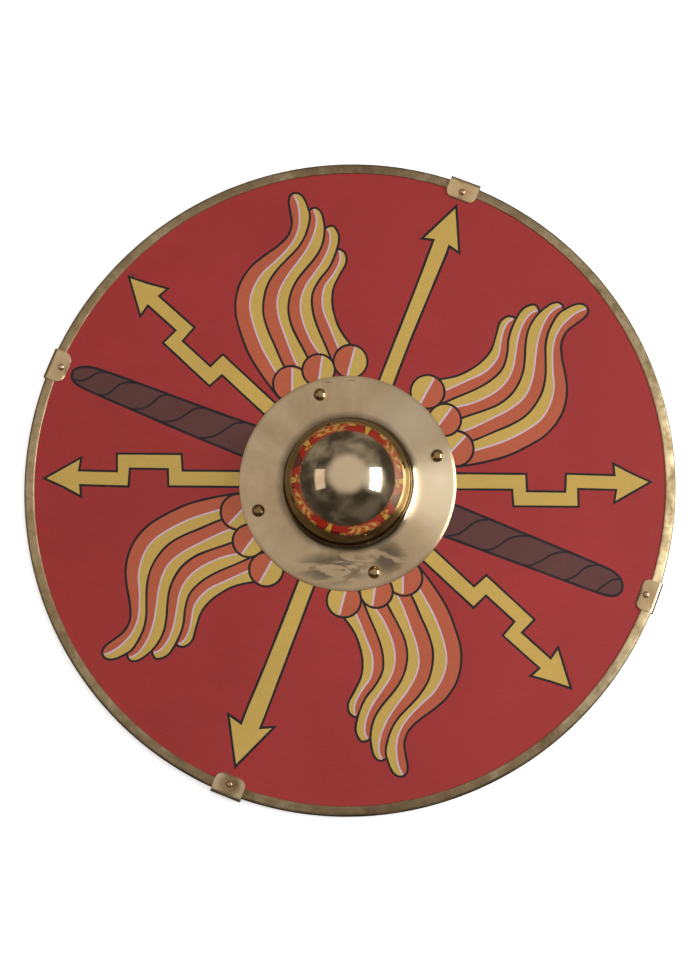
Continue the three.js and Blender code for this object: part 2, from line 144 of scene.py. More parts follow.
# The lines that turn round the two bars
TWISTS = [
    [(146, 15.6), (138, 11.8), (132, 6), (128.6, 0), (125, -6), (121, -10.4), (113, -15)],
    [(188, 15), (178, 10.6), (170, 4), (166, -2), (162, -8), (156, -13), (150, -15)],
    [(230, 14.2), (222, 11), (215, 5), (210.6, -1), (205, -7.4), (200, -12), (194, -14)],
    [(263, 13.8), (256, 10), (250.6, 5), (247.8, -1), (244, -6.6), (240, -11), (236, -13)],
    [(288, 9), (281, 5), (277, -0.5), (273.6, -5), (271.6, -9.6), (269.6, -12.4)],
    [(-117, 15.8), (-126, 11), (-131, 4), (-135, -2), (-140, -8), (-146, -12.2), (-153, -15.4)],
    [(-160, 14.8), (-168, 10.6), (-173, 4), (-177, -2), (-182, -7.4), (-188, -11.4), (-195, -14.4)],
    [(-198, 13.9), (-205.6, 9), (-209.4, 1), (-213, -5), (-218, -9.4), (-224, -12.4), (-231, -13.8)],
    [(-230, 13.2), (-241, 10), (-248, 5), (-252, -3), (-256, -9), (-263, -12.4)],
    [(-264, 12), (-272, 8.4), (-277, 2.4), (-281, -2.6), (-286, -6), (-293, -7.4)],
]
# Widths of the brushed lines
OUTLINE = 2.3
ARROW_OUTLINE = 2.5
BAR_OUTLINE = 2.5
TWIST_LINE = 1.9
QUILL_LINE = 1.6
SCALE_LINE = 2.0


# Shapes in the plane

def smooth(points, step=2.2):
    """An open curve through the points, in short straight runs."""
    pts = [Vector(p) for p in points]
    last = len(pts) - 1
    out = []
    for i in range(last):
        p1, p2 = pts[i], pts[i + 1]
        p0 = pts[i - 1] if i > 0 else p1 * 2 - p2
        p3 = pts[i + 2] if i + 1 < last else p2 * 2 - p1
        runs = max(1, round((p2 - p1).length / step))
        for k in range(runs):
            t = k / runs
            out.append(0.5 * (2 * p1 + (p2 - p0) * t + (2 * p0 - 5 * p1 + 4 * p2 - p3) * t ** 2
                              + (3 * p1 - p0 - 3 * p2 + p3) * t ** 3))
    out.append(pts[-1])
    return out


def straight(points, step=6):
    """A closed loop's points with others between them, so that long runs can waver."""
    pts = [Vector(p) for p in points]
    out = []
    for a, b in zip(pts, pts[1:] + pts[:1]):
        runs = max(1, round((b - a).length / step))
        out += [a.lerp(b, k / runs) for k in range(runs)]
    return out


def circle(x, y, radius, sides):
    turn = 2 * math.pi / sides
    return [Vector((x + radius * math.cos(i * turn), y + radius * math.sin(i * turn))) for i in range(sides)]


def brush_line(points, width, closed=False, seed=0.0):
    """The outline of a painted line: a band along the points, of a slightly uneven width."""
    n = len(points)
    left, right = [], []
    for i, p in enumerate(points):
        before = points[i - 1] if closed or i > 0 else p * 2 - points[1]
        after = points[(i + 1) % n] if closed or i < n - 1 else p * 2 - points[n - 2]
        a, b = (p - before).normalized(), (after - p).normalized()
        across = Vector((-(a.y + b.y), a.x + b.x))
        if across.length < 1e-6:
            across = Vector((-a.y, a.x))
        across.normalize()
        spread = 1 / max(0.45, across.dot(Vector((-a.y, a.x))))
        uneven = 1 + 0.16 * noise.noise(Vector((p.x * 0.05, p.y * 0.05, seed)))
        half = 0.5 * width * uneven * spread
        left.append(p + across * half)
        right.append(p - across * half)
    if closed:
        return [left, right]
    return [left + right[::-1]]


def clip_to(loop, window):
    """The part of a loop inside a convex four-sided window."""
    area = sum(a.x * b.y - b.x * a.y for a, b in zip(window, window[1:] + window[:1]))
    if area < 0:
        window = window[::-1]
    out = list(loop)
    for a, b in zip(window, window[1:] + window[:1]):
        edge = b - a
        kept = []
        for p, q in zip(out, out[1:] + out[:1]):
            dp = edge.x * (p.y - a.y) - edge.y * (p.x - a.x)
            dq = edge.x * (q.y - a.y) - edge.y * (q.x - a.x)
            if dp >= 0:
                kept.append(p)
            if (dp >= 0) != (dq >= 0):
                kept.append(p.lerp(q, dp / (dp - dq)))
        out = kept
    return out


def inside(p, loop):
    """Whether a point lies inside a loop."""
    hit = False
    x, y = p
    for (x1, y1), (x2, y2) in zip(loop, loop[1:] + loop[:1]):
        if (y1 > y) != (y2 > y) and x < (x2 - x1) * (y - y1) / (y2 - y1) + x1:
            hit = not hit
    return hit


class Drawing:
    """Shapes laid over each other in a plane, each with its paint. The last one laid shows."""

    def __init__(self):
        self.shapes = []

    def lay(self, paint, loops):
        xs = [p[0] for loop in loops for p in loop]
        ys = [p[1] for loop in loops for p in loop]
        plain = [[(p[0], p[1]) for p in loop] for loop in loops]
        self.shapes.append((paint, plain, (min(xs), min(ys), max(xs), max(ys))))

    def paint_at(self, p):
        for paint, loops, (x0, y0, x1, y1) in reversed(self.shapes):
            if x0 <= p[0] <= x1 and y0 <= p[1] <= y1 and sum(inside(p, loop) for loop in loops) % 2:
                return paint
        return None

    def faces(self):
        """Triangles that end at every shape's edge, each with its paint."""
        points, edges = [], []
        for _, loops, _ in self.shapes:
            for loop in loops:
                first = len(points)
                points += [Vector(p) for p in loop]
                edges += [(first + i, first + (i + 1) % len(loop)) for i in range(len(loop))]
        verts, _, faces, *_ = delaunay_2d_cdt(points, edges, [], 0, 1e-3, False)
        kept = []
        for f in faces:
            middle = sum((verts[i] for i in f), Vector((0, 0))) / len(f)
            paint = self.paint_at(middle)
            if paint is not None:
                kept.append((f, paint))
        return verts, kept


# Meshes

def add_object(name, data):
    obj = bpy.data.objects.new(name, data)
    bpy.context.scene.collection.objects.link(obj)
    return obj


def piece(name, verts, faces, materials, replaced, face_materials=None, flat=False, angle=40):
    """A mesh in millimetres that stands in for solids, smooth but for edges sharper than the angle."""
    mesh = bpy.data.meshes.new(name)
    mesh.from_pydata([Vector(v) * MM for v in verts], [], faces)
    for m in materials:
        mesh.materials.append(m)
    if face_materials:
        mesh.polygons.foreach_set("material_index", face_materials)
    mesh.validate()
    mesh.update()
    obj = add_object(name, mesh)
    if not flat:
        mesh.polygons.foreach_set("use_smooth", [True] * len(mesh.polygons))
        mesh.set_sharp_from_angle(angle=math.radians(angle))
    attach(obj, "root")
    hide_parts(*replaced)


def lathe(profile, sides, x=0.0, y=0.0):
    """A body of revolution from a profile of radius and height that starts and ends on the axis."""
    verts, faces, rows = [], [], []
    for r, z in profile:
        if r < 1e-6:
            rows.append([len(verts)] * sides)
            verts.append((x, y, z))
        else:
            rows.append(list(range(len(verts), len(verts) + sides)))
            for i in range(sides):
                a = 2 * math.pi * i / sides
                verts.append((x + r * math.cos(a), y + r * math.sin(a), z))
    for low, high in zip(rows, rows[1:]):
        for i in range(sides):
            j = (i + 1) % sides
            quad = [low[i], low[j], high[j], high[i]]
            face = list(dict.fromkeys(quad))
            if len(face) > 2:
                faces.append(face)
    return verts, faces


def arc(x, y, rx, ry, start, end, steps):
    turns = [math.radians(start + (end - start) * i / steps) for i in range(steps + 1)]
    return [(x + rx * math.cos(a), y + ry * math.sin(a)) for a in turns]


def rim_radius(degrees):
    a = math.radians(degrees)
    return 1 / math.hypot(math.cos(a) / RIM_HALF_WIDTH, math.sin(a) / RIM_HALF_HEIGHT)


def waver(x, y, z, size):
    return noise.noise(Vector((x / size, y / size, z)))


# Materials

class Tree:
    """A node tree built from short calls."""

    def __init__(self, tree):
        self.tree = tree

    def add(self, kind, inputs=None, **settings):
        node = self.tree.nodes.new(kind)
        for key, value in settings.items():
            setattr(node, key, value)
        for key, value in (inputs or {}).items():
            self.plug(value, node.inputs[key])
        return node

    def plug(self, value, socket):
        if isinstance(value, bpy.types.NodeSocket):
            self.tree.links.new(value, socket)
        else:
            socket.default_value = value

    def noise(self, scale, detail=4.0, roughness=0.55, distortion=0.0, vector=None):
        return self.add("ShaderNodeTexNoise", {"Vector": vector or self.object_coords, "Scale": scale,
                                               "Detail": detail, "Roughness": roughness,
                                               "Distortion": distortion}).outputs["Fac"]

    def range(self, value, low, high, to_low=0.0, to_high=1.0, **settings):
        inputs = {"Value": value, "From Min": low, "From Max": high, "To Min": to_low, "To Max": to_high}
        return self.add("ShaderNodeMapRange", inputs, **settings).outputs["Result"]

    def math(self, operation, a, b=0.0):
        return self.add("ShaderNodeMath", {0: a, 1: b}, operation=operation).outputs[0]

    def plus(self, a, b):
        return self.math("ADD", a, b)

    def times(self, a, b):
        return self.math("MULTIPLY", a, b)

    def vector_math(self, operation, a, b, output="Vector"):
        return self.add("ShaderNodeVectorMath", {0: a, 1: b}, operation=operation).outputs[output]

    def dot(self, a, b):
        return self.vector_math("DOT_PRODUCT", a, b, "Value")

    def combine(self, x, y, z=0.0):
        return self.add("ShaderNodeCombineXYZ", {0: x, 1: y, 2: z}).outputs[0]

    def mix(self, fac, a, b):
        return self.add("ShaderNodeMix", {"Factor": fac, "A": a, "B": b}, data_type="RGBA").outputs["Result"]

    def bump(self, height, strength, distance, normal=None):
        inputs = {"Height": height, "Strength": strength, "Distance": distance}
        if normal is not None:
            inputs["Normal"] = normal
        return self.add("ShaderNodeBump", inputs).outputs["Normal"]


class Nodes(Tree):
    """The nodes of a new material."""

    def __init__(self, name):
        self.material = bpy.data.materials.new(name)
        self.material.use_nodes = True
        super().__init__(self.material.node_tree)
        self.shader = self.tree.nodes["Principled BSDF"]
        self.object_coords = self.add("ShaderNodeTexCoord").outputs["Object"]

    def height(self):
        return self.add("ShaderNodeSeparateXYZ", {0: self.object_coords}).outputs["Z"]

    def stretched(self, scale, turn=0.0):
        return self.add("ShaderNodeMapping", {"Vector": self.object_coords, "Scale": scale,
                                              "Rotation": (0, 0, turn)}).outputs["Vector"]

    def set(self, **values):
        for key, value in values.items():
            self.plug(value, self.shader.inputs[key.replace("_", " ")])
        return self.material


def srgb(r, g, b):
    def linear(c):
        c /= 255
        return c / 12.92 if c <= 0.04045 else ((c + 0.055) / 1.055) ** 2.4
    return (linear(r), linear(g), linear(b), 1.0)


def paint(name, colour, mottle=0.10, roughness=0.42, smudge=None):
    """Hand-brushed satin paint: thin and thick passes, fine brush ridges and a little grime."""
    n = Nodes(name)
    broad = n.noise(7, 4, 0.6, 0.4)
    fine = n.noise(120, 5, 0.7)
    streaks_a = n.noise(1, 5, 0.62, 0.6, n.stretched((60, 900, 60), 0.5))
    streaks_b = n.noise(1, 5, 0.62, 0.6, n.stretched((70, 700, 60), -0.75))
    which = n.range(n.noise(14, 2, 0.5), 0.42, 0.58)
    streaks = n.add("ShaderNodeMix", {0: which, 2: streaks_a, 3: streaks_b}, data_type="FLOAT").outputs[0]
    grain = n.noise(420, 3, 0.7)
    dark = tuple(c * (1 - mottle * 2.2) for c in colour[:3]) + (1.0,)
    light = tuple(min(1, c * (1 + mottle)) for c in colour[:3]) + (1.0,)
    tone = n.mix(n.range(broad, 0.35, 0.68, 0.35, 1.0), dark, light)
    worn = n.mix(n.range(streaks, 0.45, 0.72, 0.0, 0.4), tone, dark)
    skin = n.mix(n.range(fine, 0.52, 0.75, 0.0, 0.4), worn, light)
    skin = n.mix(n.range(grain, 0.50, 0.70, 0.0, 0.6), skin, dark)
    if smudge:
        away = n.vector_math("DISTANCE", n.object_coords, smudge, "Value")
        away = n.plus(away, n.range(fine, 0.3, 0.7, -0.0012, 0.0012))
        skin = n.mix(n.range(away, 0.0052, 0.0005, 0.0, 0.7), skin, srgb(84, 34, 38))
    ridges = n.bump(streaks, 0.45, 0.0006)
    normal = n.bump(fine, 0.3, 0.0005, ridges)
    normal = n.bump(grain, 0.2, 0.0003, normal)
    rough = n.range(streaks, 0.35, 0.7, roughness - 0.06, roughness + 0.1)
    return n.set(Base_Color=skin, Roughness=rough, Normal=normal, Specular_IOR_Level=0.42)


def brass(name, bright, dull, stain, roughness, tarnish=0.5, rim_shade_and_stain=False, dished=None, shade=0.3,
          grit=0.05, shade_below_edge=None):
    """Sheet brass with scratches and clouds of tarnish. It can have painted shade towards the picture's top,
    bottom and left with mottled stain, painted shade in a dish round a rivet with a painted highlight on the
    dish's raised edges, and painted shade below the height of its outer edge."""
    n = Nodes(name)
    clouds = n.noise(16, 6, 0.62, 0.8)
    blotches = n.noise(48, 5, 0.6, 0.5)
    scratches = n.noise(1, 3, 0.6, 0.0, n.stretched((90, 2600, 300), 0.35))
    specks = n.noise(420, 3, 0.6)
    tone = n.mix(n.range(clouds, 0.38, 0.66), dull, bright)
    patina = n.times(n.range(clouds, 0.62, 0.40), n.range(blotches, 0.40, 0.66))
    patina = n.times(patina, tarnish)
    colour = n.mix(patina, tone, stain)
    if rim_shade_and_stain:
        # Painted shade: the binding is darker towards the picture's top and bottom, where its face mirrors
        # the dim room
        ends = n.range(n.math("ABSOLUTE", n.dot(n.object_coords, PICTURE_UP)), 0.215, 0.325)
        ends = n.times(ends, n.range(blotches, 0.30, 0.62, 1.0, 0.35))
        colour = n.mix(ends, colour, (0.25, 0.165, 0.095, 1))
        # Painted shade: the binding is darker towards the picture's left, the side of the dim lamp
        left = n.range(n.dot(n.object_coords, PICTURE_RIGHT), -0.10, -0.30, 0.0, 0.5)
        colour = n.mix(left, colour, stain)
        edge = n.range(n.noise(120, 4, 0.65), 0.46, 0.66, 0.0, 0.4)
        colour = n.mix(edge, colour, stain)
    if shade_below_edge:
        # Painted shade: darker on the outer bend, below the edge's height, where the sheet turns down away
        # from the light
        bend_shade = n.range(n.height(), (shade_below_edge - 0.8) * MM, (shade_below_edge - 1.25) * MM, 0.0, 0.85)
        colour = n.mix(bend_shade, colour, (0.22, 0.145, 0.08, 1))
    if dished:
        away = n.vector_math("MULTIPLY", n.vector_math("SUBTRACT", n.object_coords, dished), (1, 1, 0))
        away = n.add("ShaderNodeVectorMath", {0: away}, operation="LENGTH").outputs["Value"]
        away = n.plus(away, n.range(blotches, 0.3, 0.7, -0.002, 0.002))
        # Painted shade in the dish round the rivet, and a painted highlight on the dish's raised edges
        # further out
        colour = n.mix(n.range(away, 0.0105, 0.0035, 0.0, shade), colour, (0.42, 0.33, 0.18, 1))
        colour = n.mix(n.range(away, 0.0085, 0.0140, 0.0, shade), colour, (0.97, 0.83, 0.55, 1))
    rough = n.plus(n.range(clouds, 0.3, 0.7, roughness * 1.35, roughness * 0.8),
                   n.range(patina, 0, 1, 0, 0.35))
    rough = n.plus(rough, n.range(scratches, 0.4, 0.8, 0.0, 0.06))
    normal = n.bump(n.noise(26, 2, 0.5), 0.12, 0.0012)
    normal = n.bump(scratches, 0.05, 0.0002, normal)
    normal = n.bump(specks, grit, 0.0001, normal)
    if rim_shade_and_stain:
        round_axis = n.vector_math("CROSS_PRODUCT", n.object_coords, (0, 0, 1))
        n.set(Tangent=round_axis, Anisotropic=0.8, Anisotropic_Rotation=0.25)
    return n.set(Base_Color=colour, Metallic=1.0, Roughness=rough, Normal=normal)


def boss_finish(name):
    """Spun brass: a mirror polish on the dome, a softer one on the flange, with smears, painted shade in two
    nicks, a painted dark reflection round the dome's foot, painted dark radial reflections and a painted
    sheen on the right.
    """
    n = Nodes(name)
    z = n.height()
    polished = n.range(z, 0.0137, 0.0158)
    middle = Vector((BOSS_CENTRE[0], BOSS_CENTRE[1], 0)) * MM

    def across(direction):
        return n.math("SUBTRACT", n.dot(n.object_coords, direction), middle.dot(direction))

    def oval_mask(x, y, half_x, half_y, soft):
        u = n.math("DIVIDE", n.math("SUBTRACT", across(PICTURE_RIGHT), x * MM), half_x * MM)
        v = n.math("DIVIDE", n.math("SUBTRACT", across(PICTURE_UP), y * MM), half_y * MM)
        d = n.math("SQRT", n.plus(n.times(u, u), n.times(v, v)))
        return n.range(d, 1.0, 1.0 - soft)

    right, up = across(PICTURE_RIGHT), across(PICTURE_UP)
    radius = n.math("SQRT", n.plus(n.times(right, right), n.times(up, up)))
    radius = n.plus(radius, n.range(n.noise(30, 3, 0.6), 0.3, 0.7, -0.0015, 0.0015))
    foot = n.times(n.range(radius, 0.0540, 0.0566), n.range(radius, 0.0728, 0.0655))
    turning = n.noise(1, 3, 0.6, 0.0, n.combine(n.times(radius, 900.0), n.times(z, 900.0)))
    clouds = n.noise(14, 5, 0.6, 1.2)
    fine = n.noise(85, 5, 0.6, 0.6)
    tone = n.mix(n.range(clouds, 0.34, 0.66), (0.79, 0.615, 0.385, 1), (0.93, 0.75, 0.49, 1))
    tone = n.mix(n.range(fine, 0.48, 0.72, 0.0, 0.25), tone, (0.72, 0.55, 0.33, 1))
    # Painted reflection: dark radial fans on the flange, as of the room mirrored in spun metal
    spokes = n.combine(n.math("DIVIDE", n.times(right, 2.6), radius),
                       n.math("DIVIDE", n.times(up, 2.6), radius), n.times(radius, 14.0))
    reflected_fans = n.noise(1, 3, 0.55, 0.0, spokes)
    tone = n.mix(n.range(reflected_fans, 0.54, 0.34, 0.0, 0.6), tone, (0.64, 0.49, 0.30, 1))
    # Painted sheen: the flange is lighter to the picture's right and upper right, towards the bright lamp
    right_sheen = n.math("MAXIMUM", oval_mask(60, 62, 54, 46, 0.95), oval_mask(92, 4, 42, 62, 0.95))
    tone = n.mix(n.times(right_sheen, 0.9), tone, (1.0, 0.87, 0.63, 1))
    tone = n.mix(n.times(polished, 0.75), tone, (1.0, 0.83, 0.575, 1))
    smeared = n.math("MAXIMUM", oval_mask(-14, -85, 44, 19, 0.6), oval_mask(40, -75, 22, 21, 0.6))
    flat = n.combine(n.times(right, 21.0), n.times(up, 52.0))
    waves = n.noise(1, 3, 0.5, 1.5, flat)
    outline = n.range(n.math("ABSOLUTE", n.math("SUBTRACT", waves, 0.5)), 0.035, 0.0)
    film = n.range(waves, 0.48, 0.54)
    smear = n.math("MAXIMUM", n.times(outline, 0.8), n.times(film, 0.9))
    smear = n.times(smeared, smear)
    tone = n.mix(smear, tone, (0.33, 0.27, 0.19, 1))
    # Painted shade: two short dark marks near the flange's top edge, for the shade in two small dents
    nick_shade = n.math("MAXIMUM", oval_mask(-20.5, 101.6, 7.5, 0.8, 0.9), oval_mask(3.5, 103.4, 6.0, 0.7, 0.9))
    tone = n.mix(n.times(nick_shade, 0.85), tone, (0.13, 0.09, 0.05, 1))
    # Painted reflection: a dark ring at the dome's foot, standing in for the dark room mirrored in the fillet
    ring = n.times(foot, n.range(turning, 0.35, 0.65, 0.95, 0.7))
    tone = n.mix(ring, tone, (0.18, 0.135, 0.078, 1))
    rough = n.plus(n.range(polished, 0, 1, 0.305, 0.05), n.range(clouds, 0.3, 0.7, 0.03, 0.0))
    rough = n.plus(rough, n.times(smear, 0.12))
    normal = n.bump(n.noise(13, 2, 0.5, 0.8), 0.22, 0.0018)
    normal = n.bump(n.noise(420, 3, 0.6), 0.03, 0.0001, normal)
    normal = n.bump(smear, 0.12, 0.0008, normal)
    spun = n.add("ShaderNodeTangent", direction_type="RADIAL", axis="Z").outputs[0]
    return n.set(Base_Color=tone, Metallic=1.0, Roughness=rough, Normal=normal, Tangent=spun,
                 Specular_Tint=(0.62, 0.57, 0.46, 1), Anisotropic=0.92, Anisotropic_Rotation=0.25)


def wood(name, light, dark, along=(6, 140, 140), roughness=0.5, wear=None):
    """Wood with grain, rings and pores drawn out along one way, and with worn spots if asked for."""
    n = Nodes(name)
    grain = n.noise(1, 8, 0.65, 0.9, n.stretched(along))
    pores = n.noise(1, 3, 0.6, 0.0, n.stretched(tuple(c * 6 for c in along)))
    rings = n.add("ShaderNodeTexWave", {"Vector": n.stretched(tuple(c * 0.35 for c in along)), "Scale": 1.0,
                                        "Distortion": 6.0, "Detail": 3.0},
                  bands_direction="Y").outputs["Fac"]
    tone = n.mix(n.range(grain, 0.35, 0.68), dark, light)
    tone = n.mix(n.range(rings, 0.2, 1.0, 0.0, 0.35), tone, dark)
    tone = n.mix(n.range(pores, 0.56, 0.75, 0.0, 0.6), tone, tuple(c * 0.4 for c in dark[:3]) + (1.0,))
    if wear:
        tone = n.mix(n.range(n.noise(22, 4, 0.6), 0.4, 0.65, 0.0, 0.55), tone, wear)
    normal = n.bump(pores, 0.3, 0.0003, n.bump(grain, 0.2, 0.0006))
    rough = n.range(grain, 0.3, 0.7, roughness + 0.08, roughness - 0.06)
    return n.set(Base_Color=tone, Roughness=rough, Normal=normal)


def ply_edge(name):
    """The sawn edge of plywood: veneers laid crosswise, seen as bands through the thickness."""
    n = Nodes(name)
    height = n.plus(n.height(), n.range(n.noise(60), 0, 1, -0.0002, 0.0002))
    layer = n.math("SINE", n.times(height, 2 * math.pi / 0.0029))
    fibres = n.noise(1, 5, 0.6, 0.0, n.stretched((300, 300, 1500)))
    tone = n.mix(n.range(layer, -0.6, 0.6), srgb(120, 84, 50), srgb(176, 136, 88))
    tone = n.mix(n.range(fibres, 0.45, 0.7, 0, 0.5), tone, srgb(84, 56, 34))
    return n.set(Base_Color=tone, Roughness=0.7, Normal=n.bump(fibres, 0.4, 0.0004))


def iron(name):
    n = Nodes(name)
    mottle = n.noise(300, 5, 0.65)
    rust = n.range(n.noise(140, 4, 0.6), 0.52, 0.7, 0.0, 0.5)
    black = n.mix(n.range(mottle, 0.35, 0.65), srgb(44, 42, 41), srgb(84, 81, 78))
    return n.set(Base_Color=n.mix(rust, black, srgb(96, 58, 38)), Metallic=0.85,
                 Roughness=n.range(mottle, 0.3, 0.7, 0.42, 0.62), Normal=n.bump(mottle, 0.35, 0.0004))


# The board's materials, and their places in its list. The red has a dark spot beyond a bolt's tip.
RED, YELLOW, ORANGE, LILAC, BLACK, BROWN, VENEER, PLY = range(8)
BOARD_MATERIALS = [
    paint("paint_red", srgb(146, 31, 30), 0.07, 0.42, (-0.2825, 0.1155, BOARD_FRONT * MM)),
    paint("paint_yellow", srgb(182, 151, 70), 0.06),
    paint("paint_orange", srgb(168, 78, 48), 0.06),
    paint("paint_lilac", srgb(188, 168, 183), 0.05),
    paint("paint_black", srgb(19, 17, 24), 0.15),
    paint("paint_brown", srgb(82, 44, 40), 0.10),
    wood("stained_veneer", srgb(150, 104, 62), srgb(96, 62, 36), (90, 3.2, 90), 0.55),
    ply_edge("ply_edge"),
]
GRIP_ASH = wood("oiled_ash", srgb(158, 112, 66), srgb(104, 68, 38), (5, 150, 150), 0.42, srgb(84, 54, 32))
BOSS_BRASS = boss_finish("boss_brass")
BINDING_BRASS = brass("binding_brass", srgb(244, 228, 186), srgb(222, 202, 158), srgb(138, 112, 76),
                      0.34, 0.65, True, shade_below_edge=BINDING_FRONT)
RIVET_BRASS = brass("rivet_brass", srgb(212, 184, 134), srgb(176, 148, 102), srgb(112, 86, 54), 0.12)
CLIP_RIVET_BRASS = brass("clip_rivet_brass", srgb(240, 212, 180), srgb(214, 182, 148), srgb(124, 92, 64),
                         0.2, 0.3)
IRON = iron("nail_iron")


# The painted board

def mirrored(points, sides):
    """Points of the pattern on the board, on the given sides of the pattern's middle."""
    return [(sides[0] * p[0] + PATTERN_CENTRE[0], sides[1] * p[1] + PATTERN_CENTRE[1]) for p in points]


def centred(points):
    return mirrored(points, (1, 1))


def nearest(points, place):
    """The number of the point that lies nearest to a place."""
    return min(range(len(points)), key=lambda i: (points[i] - place).length)


def paint_wing(drawing, sides, seed):
    lines = [smooth(mirrored(f, sides)) for f in (FEATHER_1, FEATHER_2, FEATHER_3, FEATHER_4)]
    quills = [smooth(mirrored(q, sides)) for q in (QUILL_1, QUILL_2, QUILL_3, QUILL_4)]
    turn = nearest(lines[3], Vector(mirrored([FEATHER_4[FEATHER_4_FOLD]], sides)[0]))
    drawing.lay(ORANGE, [lines[3]])
    for i in (2, 1, 0):
        follows = lines[i + 1][:turn] if i == 2 else lines[i + 1]
        drawing.lay(ORANGE, [lines[i] + follows[:nearest(follows, lines[i][-1])][::-1]])
    for line, quill in list(zip(lines, quills))[::-1]:
        drawing.lay(YELLOW, [line[:nearest(line, quill[-1])] + quill[::-1]])
        drawing.lay(LILAC, brush_line(quill, QUILL_LINE, False, seed))
    for i in (3, 2, 1, 0):
        drawing.lay(BLACK, brush_line(lines[i], OUTLINE, False, seed + i * 0.3))
    for (x, y), radius, (a, b) in SCALES:
        a, b = Vector(a), Vector(b)
        aside = Vector((-60, 0))
        ring = [Vector(p) for p in mirrored(circle(x, y, radius, 40), sides)]
        half = [Vector(p) for p in mirrored([a, b, b + aside, a + aside], sides)]
        ends = [Vector(p) for p in mirrored([a + (b - a).normalized(), b], sides)]
        drawing.lay(ORANGE, [ring])
        drawing.lay(YELLOW, [clip_to(ring, half)])
        drawing.lay(LILAC, brush_line(ends, SCALE_LINE, False, seed))
        drawing.lay(BLACK, brush_line(ring, OUTLINE, True, seed))


def paint_pattern(drawing):
    for number, sides in enumerate(QUARTERS):
        bolt = straight(mirrored(BOLT, sides))
        drawing.lay(YELLOW, [bolt])
        drawing.lay(BLACK, brush_line(bolt, OUTLINE, True, number))
        paint_wing(drawing, sides, number)
    for arrow in (ARROW_UP, ARROW_DOWN):
        loop = straight(centred(arrow))
        drawing.lay(YELLOW, [loop])
        drawing.lay(BLACK, brush_line(loop, ARROW_OUTLINE, True, 7.3))
    for bar in (BAR_RIGHT, BAR_LEFT):
        loop = smooth(centred(bar), 4)
        drawing.lay(BROWN, [loop])
        for twist in TWISTS:
            if (twist[0][0] > 0) == (bar[0][0] > 0):
                drawing.lay(BLACK, brush_line(smooth(centred(twist)), TWIST_LINE, False, twist[0][0]))
        drawing.lay(BLACK, brush_line(loop, BAR_OUTLINE, False, 3.1))


def oval(half_width, sides):
    tall = RIM_HALF_HEIGHT / RIM_HALF_WIDTH
    return [Vector((p.x, p.y * tall)) for p in circle(0, 0, half_width, sides)]


def board():
    rim = oval(BOARD_HALF_WIDTH, 240)
    hole = circle(*BOSS_CENTRE, HAND_HOLE_RADIUS, 120)
    verts, materials, faces = [], [], []

    def level(drawing, heights, upwards):
        """Lay a drawing's faces at the height of each material, and note the heights beside each edge."""
        flat_verts, kept = drawing.faces()
        sides = {}
        for f, material in kept:
            z = heights[material]
            first = len(verts)
            verts.extend((flat_verts[i].x, flat_verts[i].y, z) for i in f)
            order = list(range(first, first + len(f)))
            faces.append(order if upwards else order[::-1])
            materials.append(material)
            for i, j in zip(f, f[1:] + f[:1]):
                sides.setdefault((min(i, j), max(i, j)), []).append(z)
        return flat_verts, sides

    front = Drawing()
    front.lay(RED, [rim])
    paint_pattern(front)
    front.lay(None, [hole])
    level(front, dict.fromkeys(range(VENEER), BOARD_FRONT), True)
    x, y = BOSS_CENTRE
    half_x, half_y = GRIP_HALF_LENGTH + FIT_GAP, GRIP_WIDTH / 2 + FIT_GAP
    corners = ((-1, -1), (1, -1), (1, 1), (-1, 1))
    back = Drawing()
    back.lay(VENEER, [rim])
    back.lay(PLY, [[Vector((x + sx * half_x, y + sy * half_y)) for sx, sy in corners]])
    back.lay(None, [hole])
    flat_verts, sides = level(back, {VENEER: BOARD_BACK, PLY: POCKET_FLOOR}, False)
    for (i, j), found in sides.items():
        low = min(found)
        high = max(found) if len(found) == 2 else BOARD_FRONT
        if high > low:
            a, b = flat_verts[i], flat_verts[j]
            first = len(verts)
            verts.extend([(a.x, a.y, low), (b.x, b.y, low), (b.x, b.y, high), (a.x, a.y, high)])
            faces.append([first, first + 1, first + 2, first + 3])
            materials.append(PLY)
    piece("painted_board", verts, faces, BOARD_MATERIALS, ["board"], materials, flat=True)


# The edge binding and the clips over its joints

